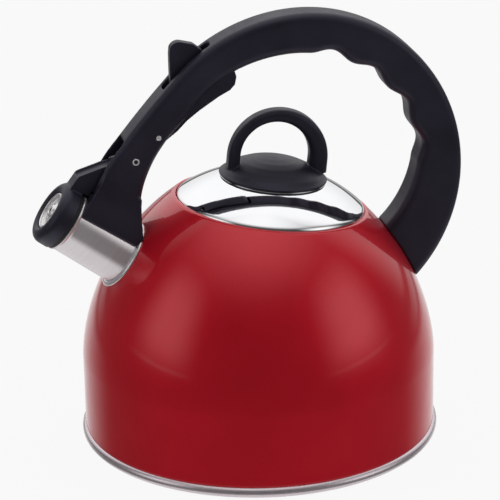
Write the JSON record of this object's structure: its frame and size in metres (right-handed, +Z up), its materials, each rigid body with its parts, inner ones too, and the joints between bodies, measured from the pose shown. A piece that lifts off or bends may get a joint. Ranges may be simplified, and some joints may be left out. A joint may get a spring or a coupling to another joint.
{
  "type": "stovetop kettle",
  "caption": "Stovetop whistling kettle: red painted steel dome, mirror lid with loop knob, black hoop handle, and a finger trigger that lifts the whistle cap off the spout.",
  "frame": {"origin": "centre of the flat base, on the body's axis", "axes": "+Z up; -X towards the spout, +X towards the rear; the handle lies in the plane y = 0"},
  "size_m": [0.2384, 0.2, 0.2384],
  "materials": {
    "red_paint": "high-gloss baked paint",
    "mirror_steel": "mirror-polished stainless steel",
    "polished_steel": "polished stainless steel with fine turning lines",
    "satin_steel": "plain stainless steel",
    "spring_steel": "drawn wire",
    "aluminium": "rolled",
    "brass": "machined",
    "black_phenolic": "moulded, satin",
    "black_rubber": "matt"
  },
  "bodies": {
    "body": {"body_shell": "red_paint", "bottom_plate": "satin_steel", "heat_disc": "aluminium", "base_cap": "polished_steel", "spout_tube": "polished_steel", "spout_collar": "polished_steel", "front_bracket": "satin_steel", "front_screw": "satin_steel", "rear_bracket": "satin_steel", "rear_screw": "satin_steel", "handle": "black_phenolic", "arm_pin": "satin_steel", "trigger_pin": "satin_steel", "return_spring": "spring_steel"},
    "lid": {"lid_shell": "mirror_steel", "lid_skirt": "satin_steel", "knob": "black_phenolic", "knob_trim": "polished_steel", "knob_screw": "satin_steel", "knob_insert": "brass"},
    "whistle": {"whistle_lever": "black_phenolic", "cap_seal": "black_rubber", "whistle_front": "polished_steel", "whistle_rear": "satin_steel"},
    "trigger": {"trigger": "black_phenolic"}
  },
  "joints": [
    {"name": "lid_lift", "type": "slide", "parent": "body", "child": "lid", "axis": [0.1097, 0, 0.994], "range_m": [0, 0.025]},
    {"name": "trigger_squeeze", "type": "hinge", "parent": "body", "child": "trigger", "pos_m": [-0.0545, 0, 0.176], "axis": [0, -1, 0], "range_deg": [0, 7]},
    {"name": "whistle_lift", "type": "hinge", "parent": "body", "child": "whistle", "pos_m": [-0.0672, 0, 0.1636], "axis": [0, 1, 0], "range_deg": [0, 15.4], "stiffness_Nm_per_rad": 0.1, "springref_deg": -28.65, "deforming": ["return_spring"]}
  ],
  "couplings": [
    {"joint": "whistle_lift", "follows": "trigger_squeeze", "ratio": 2.2}
  ]
}
